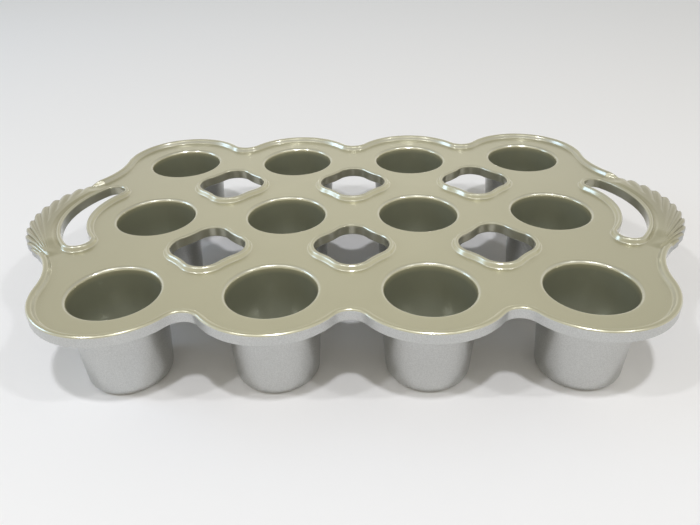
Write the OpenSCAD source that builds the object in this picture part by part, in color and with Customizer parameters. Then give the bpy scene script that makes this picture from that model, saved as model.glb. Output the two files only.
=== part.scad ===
// Popover pan for twelve small popovers, one aluminium casting with a non-stick coat.
// Deep tapered cups hang from a thin deck with windows between them, a raised bead
// runs round every edge, and each end carries a fluted handle behind a crescent slot.
// Millimetres. X runs along the pan, Y across it from front to back, Z up from the table.

/* [Layout] */
// Distance between cup axes along the pan
pitch_x = 84; // [80:1:96]
// Distance between cup axes across the pan
pitch_y = 87; // [82:1:98]
// Height from the table to the top of the deck
deck_top = 53.4; // [46:0.2:70]
// Thickness of the deck
deck_thick = 4; // [3:0.2:6]

/* [Cups] */
// Radius of a cup's outside, carried down to the table
cup_foot_r = 23.2; // [20:0.2:24]
// Wall thickness of a cup
cup_wall = 2.4; // [1.8:0.1:4]
// Thickness of a cup's floor
cup_floor = 3; // [2:0.2:5]
// Slope of a cup's walls from the vertical, in degrees
cup_draft = 4; // [2:0.5:4.5]
// Outside radius where the wall meets the floor
foot_round = 4.5; // [2:0.5:6]
// Inside radius where the wall meets the floor
well_round = 7; // [3:0.5:9]
// Radius of the lip at the mouth
lip_round = 2.2; // [1:0.1:2.6]
// Radius of the fillet under the deck
neck_round = 3; // [1:0.2:3.2]

/* [Outline] */
// Radius of the outline round a cup on the edge
lobe_r = 43.3; // [42.8:0.1:46]
// Radius of the hollow between two cups on the edge
hollow_r = 10; // [8:0.5:14]
// Radius of the hollow between a corner cup and the handle
shoulder_r = 52; // [44:1:60]

/* [Bead] */
// Height of the bead over the deck
bead_rise = 2.9; // [2:0.1:4]
// Width of the bead on the outline
rim_bead_w = 5; // [4.6:0.1:5.6]
// Width of the bead round a window or a slot
window_bead_w = 4.4; // [4.2:0.1:5]
// Radius of the bead's edge side
bead_edge_round = 1.4; // [0.8:0.1:1.8]
// Radius of the bead's crest on the deck side
bead_crest_round = 1.5; // [1:0.1:2]
// Radius of the cove between the bead and the deck
bead_cove_round = 1; // [0.6:0.1:1.6]
// Radius of the lower corner of every edge
bead_under_round = 0.8; // [0.4:0.1:1.5]

/* [Windows] */
// Distance from a cup's axis to the window's side
window_side_r = 41.8; // [40:0.1:43]
// Corner radius of a window at its ends along the pan
window_end_x_r = 12.8; // [10:0.1:15]
// Corner radius of a window at its ends across the pan
window_end_y_r = 10.9; // [9:0.1:13]

/* [Handles] */
// Distance from the end cups' axes to the centre of the slot's inner arc
slot_inner_shift = -8.4; // [-12:0.2:-5]
// Radius of the slot's inner arc
slot_inner_r = 50.4; // [49:0.1:52]
// Width of the slot at its middle
slot_w = 15.1; // [13:0.1:18]
// Radius of the slot's outer arc
slot_outer_r = 61.3; // [59:0.1:66]
// Half of the slot's length
slot_half_length = 41.2; // [34:0.2:43]
// Width of the handle at its middle, from the slot to the outline
grip_w = 22.4; // [20:0.1:26]
// Radius of the handle's outer arc
grip_r = 62.7; // [58:0.1:68]
// Height of the handle's crown over the deck
crown_rise = 2.9; // [1.5:0.1:5]
// Height of the handle's outer shoulder over the deck
brow_rise = 1.9; // [0.5:0.1:3]
// Radius of the handle's rolled outer edge
roll_r = 2.6; // [1.5:0.1:3.4]
// Length over which the rim's bead runs out onto the handle
leaf_length = 13; // [9:0.5:16]
// Angle between two flutes on the handle's outer arc
flute_turn = 9.15; // [7:0.05:13]
// Angle of one flute's groove behind the handle's middle
flute_start = 6.9; // [0:0.1:12]
// Depth of a flute at the outer edge
flute_depth = 1; // [0.4:0.1:1.6]
// Angle in front of the handle's middle to the point that the flutes fan out from
fan_turn = 58.5; // [50:0.5:65]
// Distance of that point inside the handle's outer arc
fan_inset = 2.9; // [1:0.1:8]

/* [Hidden] */
$fn = 96;
columns = 4;
rows = 3;
// Flat steps in a fillet, in each flute of a handle and along the bead's run-out
fillet_steps = 4;
flute_steps = 8;
leaf_steps = 12;
// Clear deck between a bead's cove and the line where two regions meet, and the same at a slot
bead_land = 2.2;
slot_land = 0.5;
// Hairline between two stretches of an edge, and radius of the core that runs through it
joint_gap = 0.006;
core_r = 1;
// How far a hollow's web reaches back into the pan, as a share of its depth
web_root = 0.3;
// Clear deck between the fillet under a cup's neck and the cup's edge
neck_land = 0.5;
// Angle at which the bead slopes down to the deck
bead_slope = 62;
// Share of a handle's width from its outer edge to its crown, and the width of its inner side
crown_place = 0.6;
flank_w = 2.2;
// Share of the bead's run-out before the handle's outer arc begins, share of the bead's width
// that it loses there, and share of that width from the edge to the end of the crest
leaf_lead = 0.75;
leaf_narrowing = 0.8;
crest_share = 0.39;
// Share of a flute from its groove to its crest, share of the width where the flutes end,
// their depth in the top as a share of that in the edge, and their fade near the fan's point
rib_share = 0.625;
flute_reach = 0.75;
flute_sink = 0.55;
fan_fade = 26;

deck_under = deck_top - deck_thick;
bead_top = deck_top + bead_rise;
rim_w = rim_bead_w + bead_land;
collar_w = window_bead_w + bead_land;
slot_collar_w = window_bead_w + slot_land;
end_x = (columns - 1) / 2 * pitch_x;
end_y = (rows - 1) / 2 * pitch_y;
wall_slope = tan(cup_draft);
wall_normal = cos(cup_draft);
neck_r = outside_r(deck_under - neck_round) + neck_round / wall_normal;
cup_seam_r = neck_r + neck_land;

// The hollows between two cups on the edge
hollow_reach = sqrt(pow(lobe_r + hollow_r, 2) - pow(pitch_x / 2, 2));
hollow_turn = atan2(hollow_reach, pitch_x / 2);
hollows = [for (i = [1 : columns - 1]) [(i - columns / 2) * pitch_x, end_y + hollow_reach]];

// A window's end corners, measured from its middle
window_end_x = pitch_x / 2 - sqrt(pow(window_side_r + window_end_x_r, 2) - pow(pitch_y / 2, 2));
window_end_y = pitch_y / 2 - sqrt(pow(window_side_r + window_end_y_r, 2) - pow(pitch_x / 2, 2));
window_turn_x = atan2(pitch_y / 2, pitch_x / 2 - window_end_x);
window_turn_y = atan2(pitch_y / 2 - window_end_y, pitch_x / 2);

// The slot's two long arcs, and the round end that touches both of them
slot_inner_x = end_x + slot_inner_shift;
slot_outer_x = slot_inner_x + slot_inner_r + slot_w - slot_outer_r;
slot_inner_centre = [slot_inner_x, 0];
slot_outer_centre = [slot_outer_x, 0];
slot_end_r = round_end_r(slot_inner_r, slot_outer_r, slot_outer_x - slot_inner_x, slot_half_length);
slot_end = slot_inner_centre + right_angle_side(slot_inner_r + slot_end_r, slot_half_length - slot_end_r);
slot_inner_turn = angle_of(slot_end - slot_inner_centre);
slot_outer_turn = angle_of(slot_end - slot_outer_centre);

// The handle's outer arc, and the shoulder that joins it to the corner cup's lobe
grip_x = slot_outer_x + slot_outer_r + grip_w - grip_r;
grip_centre = [grip_x, 0];
corner_cup = [end_x, end_y];
shoulder = arc_meeting(corner_cup, lobe_r + shoulder_r, grip_centre, grip_r + shoulder_r);
grip_turn = angle_of(shoulder - grip_centre);
shoulder_turn = angle_of(shoulder - corner_cup);

// Where the rim ends and the handle begins on the shoulder, and the point the flutes fan out from
seam_turn = grip_turn - leaf_lead * leaf_length / shoulder_r * 180 / PI;
seam_place = shoulder_place(seam_turn, 1);
seam_inner = seam_place[0] + (seam_place[2] + slot_collar_w / 2) * seam_place[1];
fan_point = grip_centre + polar(grip_r - fan_inset, -fan_turn);

silver = [0.74, 0.75, 0.75];
champagne = [0.71, 0.69, 0.59];

deck();
mirror([0, 1, 0]) rim();  // front_rim
rim();  // back_rim
mirror([1, 0, 0]) handle();  // left_handle
handle();  // right_handle
mirror([1, 0, 0]) slot_collar();  // left_slot_collar
slot_collar();  // right_slot_collar
window_collar(-1, -1);  // front_window_left
window_collar(0, -1);  // front_window_middle
window_collar(1, -1);  // front_window_right
window_collar(-1, 1);  // back_window_left
window_collar(0, 1);  // back_window_middle
window_collar(1, 1);  // back_window_right
cup(0, 0);  // cup_front_1
cup(1, 0);  // cup_front_2
cup(2, 0);  // cup_front_3
cup(3, 0);  // cup_front_4
cup(0, 1);  // cup_middle_1
cup(1, 1);  // cup_middle_2
cup(2, 1);  // cup_middle_3
cup(3, 1);  // cup_middle_4
cup(0, 2);  // cup_back_1
cup(1, 2);  // cup_back_2
cup(2, 2);  // cup_back_3
cup(3, 2);  // cup_back_4

// Direction of a vector in degrees
function angle_of(v) = atan2(v[1], v[0]);

// A point at a distance and an angle from the origin
function polar(r, a) = r * [cos(a), sin(a)];

// The point at given distances from two centres, on the side away from the pan's middle
function arc_meeting(a, reach_a, b, reach_b) =
    let (
        gap = norm(b - a),
        along = (reach_a * reach_a - reach_b * reach_b + gap * gap) / (2 * gap),
        side = sqrt(reach_a * reach_a - along * along),
        unit = (b - a) / gap
    )
    a + along * unit + side * [-unit[1], unit[0]];

// Corner of a right triangle at the origin, given its long side and its height
function right_angle_side(long, height) = [sqrt(long * long - height * height), height];

// Radius of the circle between an inner and an outer arc that touches both and reaches a height,
// where the centre of the outer arc lies at a shift from that of the inner one
function round_end_r(inner_r, outer_r, shift, height) =
    let (
        a = 2 * (inner_r + outer_r),
        b = inner_r * inner_r - outer_r * outer_r - shift * shift,
        c = 4 * shift * shift,
        d = 2 * a * b + 2 * c * (outer_r - height),
        e = b * b - c * (outer_r * outer_r - height * height)
    )
    (sign(shift) * sqrt(d * d - 4 * a * a * e) - d) / (2 * a * a);

// Points along a round corner, given its centre, radius and end angles
function corner(centre, r, from, to, steps = fillet_steps) =
    [for (i = [0 : steps]) centre + polar(r, from + (to - from) * i / steps)];

// Radius of a cup's outside at a height
function outside_r(z) = cup_foot_r + wall_slope * z;

// Radius of a cup's inside at a height
function inside_r(z) = outside_r(z) - cup_wall / wall_normal;

// Axis of a cup, counted from the front left one
function cup_axis(column, row) = [column * pitch_x - end_x, row * pitch_y - end_y];

// Profile of an edge with its bead, as distances inwards from the edge and heights,
// from the lower corner over the bead to the cove where the deck begins
function bead_profile(bead_w) =
    let (
        rounds = bead_crest_round + bead_cove_round,
        fall = (bead_rise - rounds * (1 - cos(bead_slope))) / sin(bead_slope),
        crest = bead_w - rounds * sin(bead_slope) - fall * cos(bead_slope),
        edge = min(bead_edge_round, crest)
    )
    concat(
        corner([bead_under_round, deck_under + bead_under_round], bead_under_round, 270, 180),
        corner([edge, bead_top - edge], edge, 180, 90),
        corner([crest, bead_top - bead_crest_round], bead_crest_round, 90, 90 - bead_slope),
        corner([bead_w, deck_top + bead_cove_round], bead_cove_round, 270 - bead_slope, 270)
    );

// The same profile closed down the line where the region ends
function edge_profile(bead_w, reach) =
    concat(bead_profile(bead_w), [[reach, deck_top], [reach, deck_under]]);

// A value between two others, and a share eased at both ends
function mix(a, b, t) = a + (b - a) * t;
function ease(t) =
    let (c = min(1, max(0, t)))
    c * c * (3 - 2 * c);

// Distance along a ray to a circle in front of it
function ray_to_circle(from, unit, centre, r) =
    let (along = (from - centre) * unit, off = (from - centre) * (from - centre) - r * r)
    -along - sqrt(max(0, along * along - off));

// Distance from the outline to the slot's collar, straight inwards
function slot_distance(from, unit) =
    let (
        direct = ray_to_circle(from, unit, slot_outer_centre, slot_outer_r + slot_collar_w),
        turn = angle_of(from + direct * unit - slot_outer_centre),
        end = [slot_end[0], sign(turn) * slot_end[1]]
    )
    abs(turn) < slot_outer_turn ? direct : ray_to_circle(from, unit, end, slot_end_r + slot_collar_w);

// A place on the handle's outline: the point, the way inwards, the width there and the
// distance along the outline from the handle's end
function outline_place(point, inwards, run) = [point, inwards, slot_distance(point, inwards), run];

// A place on the shoulder behind (1) or in front (-1) of the handle
function shoulder_place(turn, side) =
    let (inwards = [-cos(turn), -side * sin(turn)])
    outline_place(
        [shoulder[0], side * shoulder[1]] + shoulder_r * inwards,
        inwards,
        shoulder_r * (turn - seam_turn) * PI / 180
    );

// A place on the handle's outer arc
function grip_place(a) =
    outline_place(
        grip_centre + polar(grip_r, a),
        -polar(1, a),
        leaf_lead * leaf_length + grip_r * (grip_turn - abs(a)) * PI / 180
    );

// Height of the handle's top over the deck at a depth inside the outline. The bead narrows and
// leaves a valley (at the start of the run-out, t = 0) that closes where the dome is full (t = 1)
function top_rise(depth, width, t) =
    let (
        valley = rim_bead_w * (1 - leaf_narrowing * t),
        bed = dome(valley, width) * t * t,
        crest = mix(bead_rise, dome(valley, width), t)
    )
    depth < valley
        ? mix(crest, bed, ease((depth / valley - crest_share) / (1 - crest_share)))
        : mix(bed, dome(depth, width) * ease(2 * t), ease((depth - valley) / roll_r));

// Height of the full dome over the deck, flat on top and with a narrow inner side
function dome(depth, width) =
    mix(brow_rise, crown_rise, sin(90 * min(1, depth / width / crown_place)))
    * ease((width - depth) / flank_w);

// Depth of the flutes as a share, from a rib's crest at 0 to the groove between two ribs at 1,
// taken where the line from the fan's point meets the outer arc
function flute(point) =
    let (
        gap = norm(point - fan_point),
        unit = (point - fan_point) / gap,
        back = ray_to_circle(fan_point, -unit, grip_centre, grip_r),
        phase = (angle_of(fan_point - back * unit - grip_centre) - flute_start) / flute_turn,
        t = phase - floor(phase)
    )
    min(1, gap / fan_fade)
    * (t < rib_share ? 1 - sin(90 * t / rib_share) : 1 - cos(90 * (t - rib_share) / (1 - rib_share)));

// Section of the handle at a place on its outline, pressed in by the flutes
function handle_section(place) =
    let (
        width = place[2],
        t = min(1, place[3] / leaf_length),
        edge = mix(bead_edge_round, roll_r, ease(t)),
        bead = bead_profile(rim_bead_w),
        under = [for (i = [0 : fillet_steps]) bead[i]],
        side = corner([edge, deck_top + top_rise(edge, width, t) - edge], edge, 180, 90),
        plain = concat(
            [for (i = [2 * fillet_steps + 2 : len(bead) - 1]) bead[i]],
            [for (i = [1 : 2 * fillet_steps]) [mix(rim_bead_w, width, i / 2 / fillet_steps), deck_top]]
        ),
        top = [
            for (i = [0 : len(plain) - 1])
            let (depth = mix(plain[i][0], mix(roll_r, width, (i + 1) / len(plain)), ease(t)))
            [depth, mix(plain[i][1], deck_top + top_rise(depth, width, t), ease(3 * t))]
        ]
    )
    [for (p = concat(under, side, top, [[width, deck_under]])) pressed(p, place, ease(t))];

// A point of the section, moved in and down by the flutes and set in its place on the pan
function pressed(p, place, share) =
    let (
        left = 1 - min(1, p[0] / place[2] / flute_reach),
        press = flute_depth * share * left * flute(place[0] + p[0] * place[1]),
        point = place[0] + (p[0] + press * left) * place[1]
    )
    [point[0], point[1], p[1] - press * flute_sink * ease((p[1] - deck_under) / deck_thick)];

// Plan of the pan inside its outline, moved in from the edge
module outline(inset) {
    polygon([
        corner_cup, [-end_x, end_y], [-seam_inner[0], seam_inner[1]], -seam_inner,
        -corner_cup, [end_x, -end_y], [seam_inner[0], -seam_inner[1]], seam_inner
    ]);
    for (turn = [0, 180]) {
        rotate(turn) {
            for (column = [0 : columns - 1]) {
                translate([column * pitch_x - end_x, end_y]) circle(lobe_r - inset);
            }
            for (h = hollows) {
                hollow_web(h, [h[0] - pitch_x / 2, end_y], [h[0] + pitch_x / 2, end_y], hollow_r + inset);
            }
            hollow_web(shoulder, corner_cup, seam_inner, shoulder_r + inset);
            hollow_web([-shoulder[0], shoulder[1]], [-seam_inner[0], seam_inner[1]], [-end_x, end_y],
                shoulder_r + inset);
        }
    }
}

// Angles between which the outline follows a cup of the back row
function lobe_from(i) = i == columns - 1 ? shoulder_turn : hollow_turn;
function lobe_to(i) = 180 - (i == 0 ? shoulder_turn : hollow_turn);

// Web from the line between two centres out to the hollow's arc, rooted well inside the pan
module hollow_web(centre, a, b, r) {
    middle = (a + b) / 2;
    difference() {
        polygon([centre, a, middle + web_root * (middle - centre), b]);
        translate(centre) circle(r);
    }
}

// Plan of a window, moved out from its edge, with round ends that cross its sides cleanly
module window_plan(grow) {
    cup_x = pitch_x / 2;
    cup_y = pitch_y / 2;
    difference() {
        union() {
            polygon([
                [window_end_x, 0], [cup_x, cup_y], [0, window_end_y], [-cup_x, cup_y],
                [-window_end_x, 0], [-cup_x, -cup_y], [0, -window_end_y], [cup_x, -cup_y]
            ]);
            for (side = [-1, 1]) {
                translate([side * window_end_x, 0]) circle(window_end_x_r + grow + joint_gap / 2);
                translate([0, side * window_end_y]) circle(window_end_y_r + grow + joint_gap / 2);
            }
        }
        for (x = [-cup_x, cup_x]) {
            for (y = [-cup_y, cup_y]) {
                translate([x, y]) circle(window_side_r - grow);
            }
        }
    }
}

// Plan of the right slot, moved out from its edge, with round ends that cross its sides cleanly
module slot_plan(grow) {
    reach = 2 * slot_outer_r;
    difference() {
        union() {
            intersection() {
                translate(slot_outer_centre) circle(slot_outer_r + grow);
                translate(slot_outer_centre) {
                    polygon([[0, 0], polar(reach, -slot_outer_turn), polar(reach, slot_outer_turn)]);
                }
            }
            polygon([slot_inner_centre, [slot_end[0], -slot_end[1]], slot_end]);
            for (side = [-1, 1]) {
                translate([slot_end[0], side * slot_end[1]]) circle(slot_end_r + grow + joint_gap / 2);
            }
        }
        translate(slot_inner_centre) circle(slot_inner_r - grow);
    }
}

// Web between the cups, with an opening for every cup, window and slot region
module deck() {
    color(champagne) {
        translate([0, 0, deck_under]) {
            linear_extrude(deck_thick) {
                difference() {
                    outline(rim_w);
                    for (column = [0 : columns - 1]) {
                        for (row = [0 : rows - 1]) {
                            translate(cup_axis(column, row)) circle(cup_seam_r);
                        }
                    }
                    for (x = [-1 : 1]) {
                        for (y = [-1, 1]) {
                            translate([x * pitch_x, y * pitch_y / 2]) window_plan(collar_w);
                        }
                    }
                    for (side = [0, 1]) {
                        mirror([side, 0]) slot_plan(slot_collar_w);
                    }
                }
            }
        }
    }
}

// Edge swept round a centre, with its metal inside the arc (-1) or outside it (1)
module edge_arc(centre, r, metal, from, to, bead_w, reach) {
    trim = joint_gap / 2 / r * 180 / PI;
    translate([centre[0], centre[1], 0]) {
        rotate(from + trim) {
            rotate_extrude(angle = to - from - 2 * trim) {
                polygon([for (p = edge_profile(bead_w, reach)) [r + metal * p[0], p[1]]]);
            }
        }
    }
}

// The same with a core of metal across each end, inside both arcs, that casts them together
module joined_arc(centre, r, metal, from, to, bead_w, reach) {
    edge_arc(centre, r, metal, from, to, bead_w, reach);
    for (a = [from, to]) {
        joint_core(centre + polar(r + metal * reach / 2, a));
    }
}

// Round core of metal inside a joint between two stretches of edge
module joint_core(place) {
    translate([place[0], place[1], deck_under + deck_thick / 4]) {
        cylinder(r = core_r, h = deck_thick / 2);
    }
}

// Back edge of the pan with its bead, from handle to handle
module rim() {
    color(silver) {
        for (i = [0 : columns - 1]) {
            joined_arc([i * pitch_x - end_x, end_y], lobe_r, -1, lobe_from(i), lobe_to(i),
                rim_bead_w, rim_w);
        }
        for (h = hollows) {
            edge_arc(h, hollow_r, 1, 180 + hollow_turn, 360 - hollow_turn, rim_bead_w, rim_w);
        }
        for (side = [0, 1]) {
            mirror([side, 0, 0]) {
                edge_arc(shoulder, shoulder_r, 1, 180 + shoulder_turn, 180 + seam_turn, rim_bead_w, rim_w);
            }
        }
    }
}

// Beaded edge of one window, counted from the middle one
module window_collar(column, side) {
    color(champagne) {
        translate([column * pitch_x, side * pitch_y / 2, 0]) {
            for (end = [0, 180]) {
                rotate(end) {
                    joined_arc([window_end_x, 0], window_end_x_r, 1, -window_turn_x, window_turn_x,
                        window_bead_w, collar_w);
                    joined_arc([0, window_end_y], window_end_y_r, 1, window_turn_y, 180 - window_turn_y,
                        window_bead_w, collar_w);
                    for (flip = [0, 1]) {
                        mirror([0, flip, 0]) {
                            edge_arc([pitch_x / 2, pitch_y / 2], window_side_r, -1,
                                180 + window_turn_y, 180 + window_turn_x, window_bead_w, collar_w);
                        }
                    }
                }
            }
        }
    }
}

// Beaded edge of the right handle's slot
module slot_collar() {
    color(champagne) {
        joined_arc(slot_outer_centre, slot_outer_r, 1, -slot_outer_turn, slot_outer_turn,
            window_bead_w, slot_collar_w);
        joined_arc(slot_inner_centre, slot_inner_r, -1, -slot_inner_turn, slot_inner_turn,
            window_bead_w, slot_collar_w);
        for (side = [0, 1]) {
            mirror([0, side, 0]) {
                edge_arc(slot_end, slot_end_r, 1, slot_outer_turn, 180 + slot_inner_turn,
                    window_bead_w, slot_collar_w);
            }
        }
    }
}

// Fluted grip of the right handle, outside its slot collar, from shoulder to shoulder
module handle() {
    first = ceil((-grip_turn - flute_start) / flute_turn * flute_steps + 0.5);
    last = floor((grip_turn - flute_start) / flute_turn * flute_steps - 0.5);
    turns = [for (i = [0 : leaf_steps - 1]) mix(seam_turn, grip_turn, i / leaf_steps)];
    places = concat(
        [for (a = turns) shoulder_place(a, -1)],
        [grip_place(-grip_turn)],
        [for (i = [first : last]) grip_place(flute_start + i / flute_steps * flute_turn)],
        [grip_place(grip_turn)],
        [for (i = [1 : leaf_steps]) shoulder_place(turns[leaf_steps - i], 1)]
    );
    sections = [for (place = places) handle_section(place)];
    count = len(sections[0]);
    faces = [
        for (i = [0 : len(sections) - 2])
        for (j = [0 : count - 1])
        let (a = i * count + j, b = i * count + (j + 1) % count)
        for (face = [[a, b, a + count], [b, b + count, a + count]]) face
    ];
    top = (len(sections) - 1) * count;
    ends = [[for (j = [count - 1 : -1 : 0]) j], [for (j = [0 : count - 1]) top + j]];
    color(champagne) polyhedron([for (s = sections) for (p = s) p], concat(faces, ends), convexity = 6);
}

// One cup, from the fillet under the deck down to its foot, with its lip on top
module cup(column, row) {
    lip = [inside_r(deck_top - lip_round) + lip_round / wall_normal, deck_top - lip_round];
    well = [inside_r(cup_floor + well_round) - well_round / wall_normal, cup_floor + well_round];
    foot = [outside_r(foot_round) - foot_round / wall_normal, foot_round];
    neck = [neck_r, deck_under - neck_round];
    color(champagne) {
        translate(cup_axis(column, row)) {
            rotate_extrude() {
                polygon(concat(
                    [[0, 0]],
                    corner(foot, foot_round, -90, -cup_draft, 2 * fillet_steps),
                    corner(neck, neck_round, 180 - cup_draft, 90, 2 * fillet_steps),
                    [[cup_seam_r, deck_under], [cup_seam_r, deck_top]],
                    corner(lip, lip_round, 90, 180 - cup_draft, 2 * fillet_steps),
                    corner(well, well_round, -cup_draft, -90, 2 * fillet_steps),
                    [[0, cup_floor]]
                ));
            }
        }
    }
}
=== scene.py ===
"""A popover pan: one aluminium casting with a champagne coat, on a white sheet in soft light."""

import logging
import math
from dataclasses import dataclass, field
from enum import Enum

import bmesh
import bpy
from mathutils import Color, Matrix, Vector


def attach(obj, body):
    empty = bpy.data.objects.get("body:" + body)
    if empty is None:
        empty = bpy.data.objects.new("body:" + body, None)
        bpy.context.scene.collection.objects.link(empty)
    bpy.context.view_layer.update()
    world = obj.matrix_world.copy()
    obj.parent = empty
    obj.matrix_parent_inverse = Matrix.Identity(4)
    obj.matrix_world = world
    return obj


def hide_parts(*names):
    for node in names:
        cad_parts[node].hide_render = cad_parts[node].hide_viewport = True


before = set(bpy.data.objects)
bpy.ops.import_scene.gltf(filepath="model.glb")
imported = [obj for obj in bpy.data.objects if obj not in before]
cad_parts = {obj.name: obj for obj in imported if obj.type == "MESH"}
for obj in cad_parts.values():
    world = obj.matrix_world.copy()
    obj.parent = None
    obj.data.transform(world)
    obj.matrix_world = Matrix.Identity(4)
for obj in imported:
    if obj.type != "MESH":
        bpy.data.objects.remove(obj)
log = logging.getLogger("popover_pan")

MM = 0.001

Colour = tuple[float, float, float, float]
Point = tuple[float, float, float]
Span = tuple[float, float]


def tint(red: int, green: int, blue: int) -> Colour:
    """A colour as it looks on a screen, from 0 to 255, as linear light."""
    return (*Color((red / 255, green / 255, blue / 255)).from_srgb_to_scene_linear(), 1.0)


def ease(share: float) -> float:
    """A share kept between 0 and 1 and eased at both ends."""
    share = min(1.0, max(0.0, share))
    return share * share * (3 - 2 * share)


def mix(first: float, second: float, share: "float | Value") -> "float | Value":
    """A value between two others, where a share of 1 is the second."""
    return first + (second - first) * share


def polar(reach: float, angle: float) -> Vector:
    """A point in the plan at a distance and an angle from the origin."""
    return Vector((reach * math.cos(angle), reach * math.sin(angle)))


def ray_to_circle(start: Vector, unit: Vector, centre: Vector, radius: float) -> float:
    """Measures from a point along a direction to a circle in front of it.

    Args:
        start: The point.
        unit: The direction, one long.
        centre: The circle's centre.
        radius: The circle's radius.

    Returns:
        The distance to the nearer crossing, or to the nearest point of the ray where they miss.
    """
    offset = start - centre
    along = offset.dot(unit)
    return -along - math.sqrt(max(0.0, along * along - offset.dot(offset) + radius * radius))


class Side(Enum):
    """Which faces carry the coat: how far they face up where it starts and where it is whole."""

    TOP = (0.3, 0.6)
    GRIP = (0.1, 0.4)
    WALLS = (-0.6, -0.3)
    INSIDE = (-0.02, 0.03)


@dataclass(frozen=True)
class Noise:
    """Noise with a middle of 0.5.

    Attributes:
        width: Width of its largest grains in metres.
        detail: How many finer layers it has.
        roughness: How strong the finer layers are.
    """

    width: float
    detail: float
    roughness: float = 0.5


class Value:
    """A socket of a shader node that can be used in sums, differences and products."""

    def __init__(self, bench: "Bench", socket: bpy.types.NodeSocket) -> None:
        """Keeps the socket and the bench that its maths nodes are added to."""
        self.bench = bench
        self.socket = socket

    def maths(self, operation: str, *others: "float | Value") -> "Value":
        """Adds a Math node that takes this value first and hands back its result."""
        return self.bench.add("ShaderNodeMath", {"operation": operation}, dict(enumerate((self, *others))))

    def __add__(self, other: "float | Value") -> "Value":
        """Sum."""
        return self.maths("ADD", other)

    def __sub__(self, other: "float | Value") -> "Value":
        """Difference."""
        return self.maths("SUBTRACT", other)

    def __rsub__(self, other: float) -> "Value":
        """Difference from a number."""
        return self.bench.add("ShaderNodeMath", {"operation": "SUBTRACT"}, {0: other, 1: self})

    def __mul__(self, other: "float | Value") -> "Value":
        """Product."""
        return self.maths("MULTIPLY", other)

    __radd__ = __add__
    __rmul__ = __mul__

    def smooth(self, span: Span) -> "Value":
        """Goes smoothly from 0 at the first end of a span to 1 at the second."""
        values = {"Value": self, "From Min": span[0], "From Max": span[1]}
        return self.bench.add("ShaderNodeMapRange", {"interpolation_type": "SMOOTHSTEP"}, values)


class Bench:
    """The nodes of one material, or of the world."""

    def __init__(self, owner: "bpy.types.Material | bpy.types.World") -> None:
        """Clears the nodes of a material or of the world.

        Args:
            owner: What the nodes belong to.
        """
        owner.use_nodes = True
        self.tree = owner.node_tree
        self.tree.nodes.clear()

    def node(self, kind: str, settings: dict | None = None, values: dict | None = None) -> bpy.types.Node:
        """Adds a node, sets it up and fills its sockets.

        Args:
            kind: The node's type.
            settings: Its properties, set before its sockets are filled.
            values: Sockets by number or identifier, each with a value or a link.

        Returns:
            The node.
        """
        node = self.tree.nodes.new(kind)
        for key, value in (settings or {}).items():
            setattr(node, key, value)
        for key, value in (values or {}).items():
            socket = self.pick(node.inputs, key)
            if isinstance(value, Value):
                self.tree.links.new(value.socket, socket)
            else:
                socket.default_value = value
        return node

    def add(self, kind: str, settings: dict | None = None, values: dict | None = None,
            out: "int | str" = 0) -> Value:
        """Adds a node as node does and hands back one of its outputs, by number or identifier."""
        return Value(self, self.pick(self.node(kind, settings, values).outputs, out))

    @staticmethod
    def pick(sockets: bpy.types.bpy_prop_collection, key: "int | str") -> bpy.types.NodeSocket:
        """Finds a socket by its number or its identifier."""
        return sockets[key] if isinstance(key, int) else next(s for s in sockets if s.identifier == key)

    def place(self) -> Value:
        """Where a point lies on the object."""
        return self.add("ShaderNodeTexCoord", out="Object")

    def along(self, axis: str) -> Value:
        """Where a point lies on the object along one axis."""
        return self.add("ShaderNodeSeparateXYZ", None, {"Vector": self.place()}, axis)

    def upward(self) -> Value:
        """How far the surface faces up, from -1 to 1."""
        normal = self.add("ShaderNodeNewGeometry", out="Normal")
        return self.add("ShaderNodeSeparateXYZ", None, {"Vector": normal}, "Z")

    def noise(self, noise: Noise) -> Value:
        """Noise over the object."""
        values = {"Scale": 1 / noise.width, "Detail": noise.detail, "Roughness": noise.roughness}
        return self.add("ShaderNodeTexNoise", None, {"Vector": self.place(), **values}, "Fac")

    def blend(self, share: "float | Value", first: "Colour | Value", second: "Colour | Value") -> Value:
        """Mixes two colours, where a share of 1 is the second."""
        values = {"Factor_Float": share, "A_Color": first, "B_Color": second}
        return self.add("ShaderNodeMix", {"data_type": "RGBA"}, values, "Result_Color")

    def bump(self, height: Value, depth: float, strength: float) -> Value:
        """A normal pushed in and out by a height, where a height of 1 is worth the depth in metres."""
        return self.add("ShaderNodeBump", None, {"Height": height, "Distance": depth, "Strength": strength})


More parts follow.
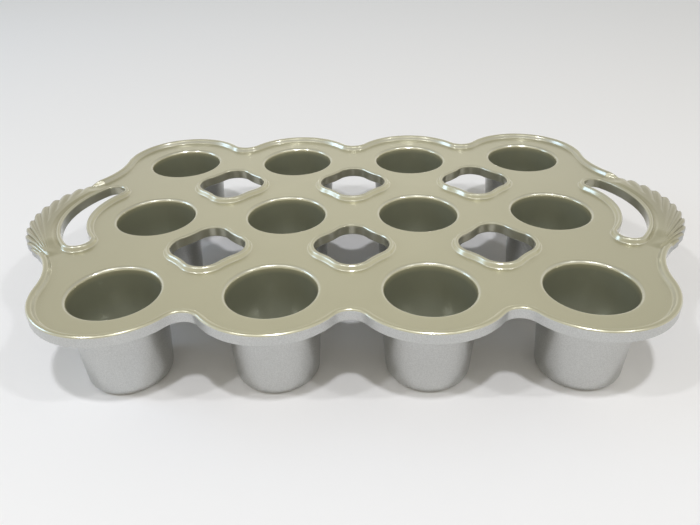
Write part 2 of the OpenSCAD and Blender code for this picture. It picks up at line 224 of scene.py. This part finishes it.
@dataclass(frozen=True)
class CastingFinish:
    """Bead-blasted aluminium with a satin coat on the side where the batter goes.

    A span holds the places, in metres, or the upward tilts of the surface between which a tint goes
    from nothing to its full share. Some tints are painted light: shade towards the ends, in the cups'
    wells and on the collars' walls; the paler edges are partly painted highlight and the darker grips
    partly painted shade.
    """

    name: str
    coated: Side
    coat: Colour = tint(205, 199, 165)
    coat_deep: Colour = tint(189, 183, 149)
    # Painted shade: the coat darkens towards both ends of the pan, where the lamps over the middle light it
    # less.
    coat_end_shade: Colour = tint(178, 172, 140)
    end_shade_span: Span = (30 * MM, 210 * MM)
    end_shade_share: float = 0.8
    # Paler, more neutral colour on the rounded edges between the two tilt spans: partly a thinner coat
    # there, partly a painted highlight.
    edge: Colour = tint(222, 221, 212)
    edge_wear_and_sheen_span: Span = (0.985, 0.93)
    edge_wear_and_sheen_foot_span: Span = (0.5, 0.6)
    edge_wear_and_sheen_share: float = 0.35
    # Painted shade inside the cups: darker below the lip, with less of it towards the cups' floors.
    well_shade: Colour = tint(156, 156, 134)
    well_shade_span: Span = (52 * MM, 48 * MM)
    well_shade_bottom: Colour = tint(200, 200, 184)
    well_shade_bottom_span: Span = (40 * MM, 5 * MM)
    # Painted shade on the steep inner walls of the windows and slots, which lie in shade in their recesses.
    wall_shade: Colour = tint(158, 155, 132)
    wall_shade_span: Span = (0.6, 0.1)
    # Darker, browner coat on the handles: a browner tone, and painted shade standing in for the shade
    # between the flutes.
    grip_tone_and_shade: Colour = tint(152, 145, 113)
    grip_tone_and_shade_span: Span = (176 * MM, 196 * MM)
    metal: Colour = tint(204, 205, 203)
    metal_dark: Colour = tint(174, 174, 172)
    cloud: Noise = Noise(30 * MM, 3.0)
    cloud_on_coat: float = 0.6
    cloud_on_metal: float = 0.3
    speck: Noise = Noise(0.6 * MM, 1.0)
    speck_span: Span = (0.3, 0.7)
    speck_on_coat: float = 0.06
    speck_on_metal: float = 0.4
    speck_roughness: float = 0.04
    grain: Noise = Noise(0.8 * MM, 3.0, 0.6)
    grain_depth: float = 0.06 * MM
    grain_strength: float = 0.8
    coat_roughness: float = 0.3
    metal_roughness: float = 0.33
    coat_metallic: float = 0.55
    metal_metallic: float = 0.9
    gloss: float = 1.0
    gloss_roughness: float = 0.16
    gloss_ior: float = 2.0

    def coat_colour(self, bench: Bench, cloud: Value, speck: Value) -> Value:
        """Colours the coat.

        Args:
            bench: The bench that the nodes are added to.
            cloud: Slow changes over the casting, from 0 to 1.
            speck: Fine specks, from 0 to 1.

        Returns:
            The colour, with painted shade towards the pan's ends; and as the coated side asks, paler along
            rounded edges (thinner coat and painted highlight), with painted shade on walls or in wells, or
            darker and browner on grips (browner tone and painted shade between the flutes).
        """
        tilt = bench.upward()
        reach = bench.along("X").maths("ABSOLUTE")
        share = cloud * self.cloud_on_coat + speck * self.speck_on_coat
        colour = bench.blend(share, self.coat, self.coat_deep)
        # Painted shade towards both ends of the pan.
        colour = bench.blend(reach.smooth(self.end_shade_span) * self.end_shade_share, colour, self.coat_end_shade)
        # Handles darker and browner: a browner tone and painted shade between the flutes.
        if self.coated is Side.GRIP:
            return bench.blend(reach.smooth(self.grip_tone_and_shade_span), colour, self.grip_tone_and_shade)
        # Rounded edges paler: thinner coat and painted highlight.
        edge = tilt.smooth(self.edge_wear_and_sheen_span) * tilt.smooth(self.edge_wear_and_sheen_foot_span)
        colour = bench.blend(edge * self.edge_wear_and_sheen_share, colour, self.edge)
        if self.coated is Side.INSIDE:
            # Painted shade in the cups, darker below the lip and lighter again near their floors.
            height = bench.along("Z")
            well_shade = bench.blend(height.smooth(self.well_shade_bottom_span), self.well_shade, self.well_shade_bottom)
            return bench.blend(height.smooth(self.well_shade_span), colour, well_shade)
        if self.coated is Side.WALLS:
            # Painted shade on the steep walls of the windows and slots.
            return bench.blend(tilt.smooth(self.wall_shade_span), colour, self.wall_shade)
        return colour

    def material(self) -> bpy.types.Material:
        """Makes the material.

        Returns:
            The material, with coat and bare metal told apart by the way the surface faces.
        """
        material = bpy.data.materials.new(self.name)
        bench = Bench(material)
        coated = bench.upward().smooth(self.coated.value)
        cloud = bench.noise(self.cloud)
        speck = bench.noise(self.speck).smooth(self.speck_span)
        share = cloud * self.cloud_on_metal + speck * self.speck_on_metal
        metal = bench.blend(share, self.metal, self.metal_dark)
        uneven = (speck - 0.5) * self.speck_roughness
        shader = bench.add("ShaderNodeBsdfPrincipled", None, {
            "Base Color": bench.blend(coated, metal, self.coat_colour(bench, cloud, speck)),
            "Roughness": mix(self.metal_roughness, self.coat_roughness, coated) + uneven,
            "Metallic": mix(self.metal_metallic, self.coat_metallic, coated),
            "Coat Weight": coated * self.gloss,
            "Coat Roughness": self.gloss_roughness,
            "Coat IOR": self.gloss_ior,
            "Normal": bench.bump(bench.noise(self.grain), self.grain_depth, self.grain_strength),
        })
        bench.node("ShaderNodeOutputMaterial", None, {"Surface": shader})
        return material


@dataclass(frozen=True)
class SheetFinish:
    """White paper under the pan, painted a little whiter far behind it as painted light, where the lamps
    reach it less.
    """

    name: str = "white_sheet"
    white: Colour = tint(243, 240, 237)
    far_painted_light: Colour = tint(253, 253, 255)
    far_painted_light_span: Span = (0.1, 1.3)
    roughness: float = 0.9
    shine: float = 0.1

    def material(self) -> bpy.types.Material:
        """Makes the material.

        Returns:
            The material.
        """
        material = bpy.data.materials.new(self.name)
        bench = Bench(material)
        shader = bench.add("ShaderNodeBsdfPrincipled", None, {
            # Painted light: the paper gets whiter far behind the pan.
            "Base Color": bench.blend(bench.along("Y").smooth(self.far_painted_light_span), self.white, self.far_painted_light),
            "Roughness": self.roughness,
            "Specular IOR Level": self.shine,
        })
        bench.node("ShaderNodeOutputMaterial", None, {"Surface": shader})
        return material


@dataclass
class Casting:
    """The regions of the pan that keep their own solids."""

    # The rim's rounded edges and the collars' edges get a share of thinner coat and painted highlight.
    edge_finish: CastingFinish = CastingFinish("coated_edges", Side.TOP, edge_wear_and_sheen_share=0.12)
    wall_finish: CastingFinish = CastingFinish("coated_walls", Side.WALLS, edge_wear_and_sheen_share=0.25)
    cup_finish: CastingFinish = CastingFinish("coated_cups", Side.INSIDE)

    def dress(self) -> None:
        """Gives every region its finish."""
        edges = self.edge_finish.material()
        walls = self.wall_finish.material()
        cups = self.cup_finish.material()
        for name, node in sorted(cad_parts.items()):
            holed = "_window_" in name or name.endswith("_slot_collar")
            finish = cups if name.startswith("cup_") else walls if holed else edges
            node.data.materials.clear()
            node.data.materials.append(finish)
            log.info("%s wears %s", name, finish.name)


def show(name: str, form: bmesh.types.BMesh, material: bpy.types.Material) -> bpy.types.Object:
    """Puts a finished form into the scene.

    Args:
        name: Name of the new object.
        form: The form in the pan's own space, freed here.
        material: What it is made of.

    Returns:
        The object, at the origin.
    """
    mesh = bpy.data.meshes.new(name)
    form.to_mesh(mesh)
    form.free()
    mesh.materials.append(material)
    piece = bpy.data.objects.new(name, mesh)
    bpy.context.scene.collection.objects.link(piece)
    return piece


@dataclass(frozen=True)
class Place:
    """A place on the outline of a handle, in the plan of the right one and in millimetres.

    Attributes:
        point: The point on the outline.
        inwards: Direction from it towards the slot, one long.
        width: Distance from it to the slot's collar.
        run: Distance along the outline from the handle's nearer end.
    """

    point: Vector
    inwards: Vector
    width: float
    run: float


@dataclass
class Grip:
    """A fluted handle, from the end of the rim's bead at one shoulder to that at the other.

    All sizes are in millimetres and degrees, as in the plan and the section of the casting.
    """

    name: str
    side: int
    finish: CastingFinish

    # The outline in plan: the rim's lobe, the hollow shoulder after it and the handle's own arc.
    lobe: Vector = Vector((126.0, 87.0))
    lobe_r: float = 43.3
    shoulder_r: float = 52.0
    centre: Vector = Vector((142.8, 0.0))
    outer_r: float = 62.7
    lead: float = 9.75

    # The outer side of the slot's collar, with its round ends.
    slot: Vector = Vector((121.8, 0.0))
    collar_r: float = 66.2
    slot_end: Vector = Vector((163.9197, 34.0872))
    collar_end_r: float = 12.0128
    lap: float = 1.9

    # The section at the ends: the deck, the rim's bead and the ridge where it runs out as a leaf.
    deck_under: float = 49.4
    deck_top: float = 53.4
    under_round: float = 0.8
    bead_rise: float = 2.9
    bead_w: float = 5.0
    bead_edge: float = 1.4
    bead_crest_share: float = 0.39
    bead_narrowing: float = 0.8
    leaf: float = 13.0
    ridge_rise: float = 1.1
    ridge_run: float = 5.0
    ridge_w: float = 6.0

    # The full section: a dome that rises from the brow to the crown and falls to the collar.
    growth: float = 20.0
    growth_start: float = 2.0
    brow_rise: float = 1.9
    crown_rise: float = 2.9
    crown_share: float = 0.6
    roll_r: float = 2.6
    flank_w: float = 2.6
    flank_share: float = 0.48

    # The flutes and the point that they fan out from.
    flute_turn: float = 9.15
    flute_start: float = 6.9
    flute_depth: float = 1.0
    flute_sink: float = 1.3
    flute_reach: float = 0.75
    rib_share: float = 0.625
    fan_turn: float = 58.5
    fan_inset: float = 2.9
    fan_fade: float = 26.0

    # How finely it is made.
    step: float = 0.4
    under_steps: int = 6
    edge_steps: int = 12
    top_steps: int = 56
    weld: float = 0.001
    sharp_turn: float = 40.0

    # Worked out from the sizes above.
    shoulder: Vector = field(init=False)
    turn: float = field(init=False)
    seam_turn: float = field(init=False)
    fan: Vector = field(init=False)

    def __post_init__(self) -> None:
        """Works out the shoulder's centre, the handle's ends and the point the flutes fan out from."""
        gap = self.centre - self.lobe
        near, far = self.lobe_r + self.shoulder_r, self.outer_r + self.shoulder_r
        along = (near * near - far * far + gap.length_squared) / (2 * gap.length)
        unit = gap.normalized()
        away = Vector((-unit.y, unit.x))
        self.shoulder = self.lobe + along * unit + math.sqrt(near * near - along * along) * away
        self.turn = math.atan2(self.shoulder.y - self.centre.y, self.shoulder.x - self.centre.x)
        self.seam_turn = self.turn - self.lead / self.shoulder_r
        self.fan = self.centre + polar(self.outer_r - self.fan_inset, -math.radians(self.fan_turn))

    def place(self, point: Vector, inwards: Vector, run: float) -> Place:
        """Measures the width of the handle at a point of its outline.

        Args:
            point: The point.
            inwards: Direction from it towards the slot, one long.
            run: Distance along the outline from the handle's nearer end.

        Returns:
            The place, with its width.
        """
        width = ray_to_circle(point, inwards, self.slot, self.collar_r)
        hit = point + width * inwards - self.slot
        end = self.slot_end - self.slot
        if abs(math.atan2(hit.y, hit.x)) > math.atan2(end.y, end.x):
            centre = Vector((self.slot_end.x, math.copysign(self.slot_end.y, hit.y)))
            width = ray_to_circle(point, inwards, centre, self.collar_end_r)
        return Place(point, inwards, width, run)

    def shoulder_places(self, side: int) -> list[Place]:
        """Finds places along one shoulder.

        Args:
            side: -1 for the front shoulder, 1 for the back one.

        Returns:
            The places, from the handle's end to where its own arc starts.
        """
        centre = Vector((self.shoulder.x, side * self.shoulder.y))
        count = round(self.lead / self.step)
        places = []
        for i in range(count):
            angle = mix(self.seam_turn, self.turn, i / count)
            inwards = Vector((-math.cos(angle), -side * math.sin(angle)))
            run = self.shoulder_r * (angle - self.seam_turn)
            places.append(self.place(centre + self.shoulder_r * inwards, inwards, run))
        return places

    def places(self) -> list[Place]:
        """Finds places all along the outline.

        Returns:
            The places, from the front end to the back end.
        """
        count = round(2 * self.turn * self.outer_r / self.step)
        arc = []
        for i in range(count + 1):
            angle = self.turn * (2 * i / count - 1)
            run = self.lead + self.outer_r * (self.turn - abs(angle))
            arc.append(self.place(self.centre + polar(self.outer_r, angle), -polar(1, angle), run))
        return self.shoulder_places(-1) + arc + self.shoulder_places(1)[::-1]

    def dome(self, depth: float, width: float) -> float:
        """Measures the full handle's height over the deck.

        Args:
            depth: Distance inside the outline.
            width: Width of the handle there.

        Returns:
            The height without the flutes.
        """
        crown = math.sin(math.pi / 2 * min(1.0, depth / width / self.crown_share))
        flank = ease((width + self.lap - depth) / self.flank_w)
        return mix(self.brow_rise, self.crown_rise, crown) * mix(self.flank_share, 1.0, flank)

    def top_rise(self, depth: float, width: float, run: float) -> float:
        """Measures the top's height over the deck, with the rim's bead running out at the ends.

        Args:
            depth: Distance inside the outline.
            width: Width of the handle there.
            run: Distance along the outline from the handle's nearer end.

        Returns:
            The height without the flutes.
        """
        share = min(1.0, run / self.leaf)
        valley = self.bead_w * (1 - self.bead_narrowing * share)
        brow = self.dome(valley, width)
        bed = brow * share * share
        if depth < valley:
            fall = ease((depth / valley - self.bead_crest_share) / (1 - self.bead_crest_share))
            return mix(mix(self.bead_rise, brow, share), bed, fall)
        start = self.growth_start
        grown = ease((run + start) / self.growth) - ease(start / self.growth) * (1 - share)
        past = depth - valley
        fade = (1 - grown) * (1 - ease((past - self.bead_edge) / self.ridge_w))
        full = self.dome(depth, width) * grown + self.ridge_rise * ease(run / self.ridge_run) * fade
        return mix(bed, full, ease(past / mix(self.bead_edge, self.roll_r, share)))

    def flute(self, point: Vector) -> float:
        """Finds how far into a flute a point lies.

        Args:
            point: The point in the plan.

        Returns:
            0 on a rib's crest and 1 at the bottom of a groove, less near the point of the fan.
        """
        arm = point - self.fan
        unit = arm.normalized()
        far = self.fan - ray_to_circle(self.fan, -unit, self.centre, self.outer_r) * unit - self.centre
        phase = (math.degrees(math.atan2(far.y, far.x)) - self.flute_start) / self.flute_turn
        share = phase - math.floor(phase)
        if share < self.rib_share:
            hollow = 1 - math.sin(math.pi / 2 * share / self.rib_share)
        else:
            hollow = 1 - math.cos(math.pi / 2 * (share - self.rib_share) / (1 - self.rib_share))
        return hollow * min(1.0, arm.length / self.fan_fade)

    def pressed(self, depth: float, height: float, place: Place, share: float) -> Vector:
        """Moves a point of a section in and down by the flutes and sets it in its place on the pan.

        Args:
            depth: Its distance inside the outline.
            height: Its height over the pan's feet.
            place: The place of its section.
            share: How much of the flutes there is.

        Returns:
            The point in the pan's own space.
        """
        flute = self.flute(place.point + depth * place.inwards) * share
        left = 1 - min(1.0, depth / place.width / self.flute_reach)
        spot = place.point + (depth + self.flute_depth * flute * left * left) * place.inwards
        lift = ease((height - self.deck_under) / (self.deck_top - self.deck_under))
        sink = self.flute_sink * flute * math.sqrt(left) * lift
        return Vector((self.side * spot.x, spot.y, height - sink))

    def section(self, place: Place) -> list[Vector]:
        """Finds points round the handle's section at a place.

        Args:
            place: Where on the outline the section stands.

        Returns:
            The points in the pan's own space, from the lower outer corner over the top.
        """
        share = ease(min(1.0, place.run / self.leaf))
        edge = mix(self.bead_edge, self.roll_r, share)
        brow = self.deck_top + self.top_rise(edge, place.width, place.run)
        inner = place.width + self.lap
        flat = []
        for i in range(self.under_steps + 1):
            corner = polar(self.under_round, math.pi * (1.5 - i / self.under_steps / 2))
            flat.append((self.under_round + corner.x, self.deck_under + self.under_round + corner.y))
        for i in range(self.edge_steps + 1):
            corner = polar(edge, math.pi * (1 - i / self.edge_steps / 2))
            flat.append((edge + corner.x, brow - edge + corner.y))
        for i in range(1, self.top_steps + 1):
            depth = mix(edge, inner, i / self.top_steps)
            flat.append((depth, self.deck_top + self.top_rise(depth, place.width, place.run)))
        flat.append((inner, self.deck_under))
        return [self.pressed(depth, height, place, share) for depth, height in flat]

    def build(self, node: str) -> bpy.types.Object:
        """Builds the handle in place of a CAD node.

        Args:
            node: The CAD node that it stands for.

        Returns:
            The finished object.
        """
        sections = [self.section(place) for place in self.places()]
        columns, rows = len(sections), len(sections[0])
        form = bmesh.new()
        bmesh.ops.create_grid(form, x_segments=columns - 1, y_segments=rows, size=1)
        for vertex in form.verts:
            column = round((vertex.co.x + 1) / 2 * (columns - 1))
            row = round((vertex.co.y + 1) / 2 * rows)
            vertex.co = sections[column][row % rows] * MM
        bmesh.ops.remove_doubles(form, verts=form.verts[:], dist=self.weld * MM)
        bmesh.ops.holes_fill(form, edges=[edge for edge in form.edges if edge.is_boundary], sides=0)
        bmesh.ops.recalc_face_normals(form, faces=form.faces[:])
        piece = show(self.name, form, self.finish.material())
        piece.data.shade_smooth()
        piece.data.set_sharp_from_angle(angle=math.radians(self.sharp_turn))
        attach(piece, "root")
        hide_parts(node)
        log.info("%s stands for %s with %d faces", self.name, node, len(piece.data.polygons))
        return piece


@dataclass(frozen=True)
class Lamp:
    """A square soft light, with its sizes in metres and its power in watts."""

    name: str
    place: Point
    power: float
    width: float = 0.09
    colour: tuple[float, float, float] = (0.9, 0.93, 1.0)

    def light(self, aim: Point) -> None:
        """Adds the lamp to the scene.

        Args:
            aim: The point that it looks at.
        """
        data = bpy.data.lights.new(self.name, "AREA")
        data.shape = "SQUARE"
        data.size = self.width
        data.energy = self.power
        data.color = self.colour
        lamp = bpy.data.objects.new(self.name, data)
        lamp.location = self.place
        lamp.rotation_euler = (Vector(self.place) - Vector(aim)).to_track_quat("Z", "Y").to_euler()
        bpy.context.scene.collection.objects.link(lamp)
        log.info("%s of %.1f W", self.name, self.power)


@dataclass
class Studio:
    """The sheet, the lamps and the camera round the pan, in metres and degrees.

    The sky goes from the first strength at the horizon to the second one overhead.
    """

    sheet_width: float = 8.0
    sky: Span = (0.95, 0.22)
    sky_colour: Colour = (1.0, 0.985, 0.9, 1.0)
    lamps: tuple[Lamp, ...] = (
        Lamp("middle_lamp", (0.05, -0.62, 1.5), 8.9),
        Lamp("left_lamp", (-0.82, -0.63, 1.5), 4.9),
        Lamp("right_lamp", (0.95, -0.63, 1.5), 4.4),
        Lamp("window", (-1.6, 0.12, 0.75), 5.2, 0.65, (0.48, 0.69, 1.0)),
    )
    lamp_aim: Point = (0.0, 0.0, 0.03)
    camera_place: Point = (0.00772, -0.37770, 0.2471)
    camera_turn: float = 1.521
    camera_tilt: float = 58.605
    camera_roll: float = -1.558
    camera_clip: Span = (0.01, 50.0)
    sensor_width_mm: float = 36.0
    lens_mm: float = 34.09

    def aim_camera(self) -> None:
        """Puts the camera where the photograph was taken from."""
        data = bpy.data.cameras.new("photograph_view")
        data.sensor_width = self.sensor_width_mm
        data.lens = self.lens_mm
        data.clip_start, data.clip_end = self.camera_clip
        camera = bpy.data.objects.new("photograph_view", data)
        turn = Matrix.Rotation(math.radians(self.camera_turn), 4, "Z")
        tilt = Matrix.Rotation(math.radians(self.camera_tilt), 4, "X")
        roll = Matrix.Rotation(math.radians(self.camera_roll), 4, "Z")
        camera.matrix_world = Matrix.Translation(self.camera_place) @ turn @ tilt @ roll
        bpy.context.scene.collection.objects.link(camera)
        bpy.context.scene.camera = camera
        bpy.context.scene.view_settings.view_transform = "Standard"

    def lay_sheet(self) -> None:
        """Lays the white sheet that the pan stands on."""
        form = bmesh.new()
        bmesh.ops.create_grid(form, x_segments=1, y_segments=1, size=self.sheet_width / 2)
        finish = SheetFinish()
        sheet = show(finish.name, form, finish.material())
        log.info("sheet %.1f m wide", self.sheet_width)

    def light(self) -> None:
        """Lights the pan softly from above, with a cooler window from the left."""
        world = bpy.data.worlds.new("studio")
        bench = Bench(world)
        around = bench.add("ShaderNodeTexCoord", out="Generated")
        height = bench.add("ShaderNodeSeparateXYZ", None, {"Vector": around}, "Z")
        low, high = self.sky
        strength = bench.add("ShaderNodeMapRange", None, {"Value": height, "To Min": low, "To Max": high})
        glow = bench.add("ShaderNodeBackground", None, {"Color": self.sky_colour, "Strength": strength})
        bench.node("ShaderNodeOutputWorld", None, {"Surface": glow})
        bpy.context.scene.world = world
        for lamp in self.lamps:
            lamp.light(self.lamp_aim)


def main() -> None:
    """Builds the picture."""
    logging.basicConfig(level=logging.INFO, format="%(message)s")
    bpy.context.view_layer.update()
    studio = Studio()
    studio.aim_camera()
    studio.lay_sheet()
    studio.light()
    Casting().dress()
    grip_finish = CastingFinish(
        "coated_grips",
        Side.GRIP,
        metal=tint(184, 186, 185),
        metal_dark=tint(150, 151, 150),
        coat_roughness=0.36,
        gloss_roughness=0.24,
    )
    Grip("left_grip", -1, grip_finish).build("left_handle")
    Grip("right_grip", 1, grip_finish).build("right_handle")


if __name__ == "__main__":
    main()
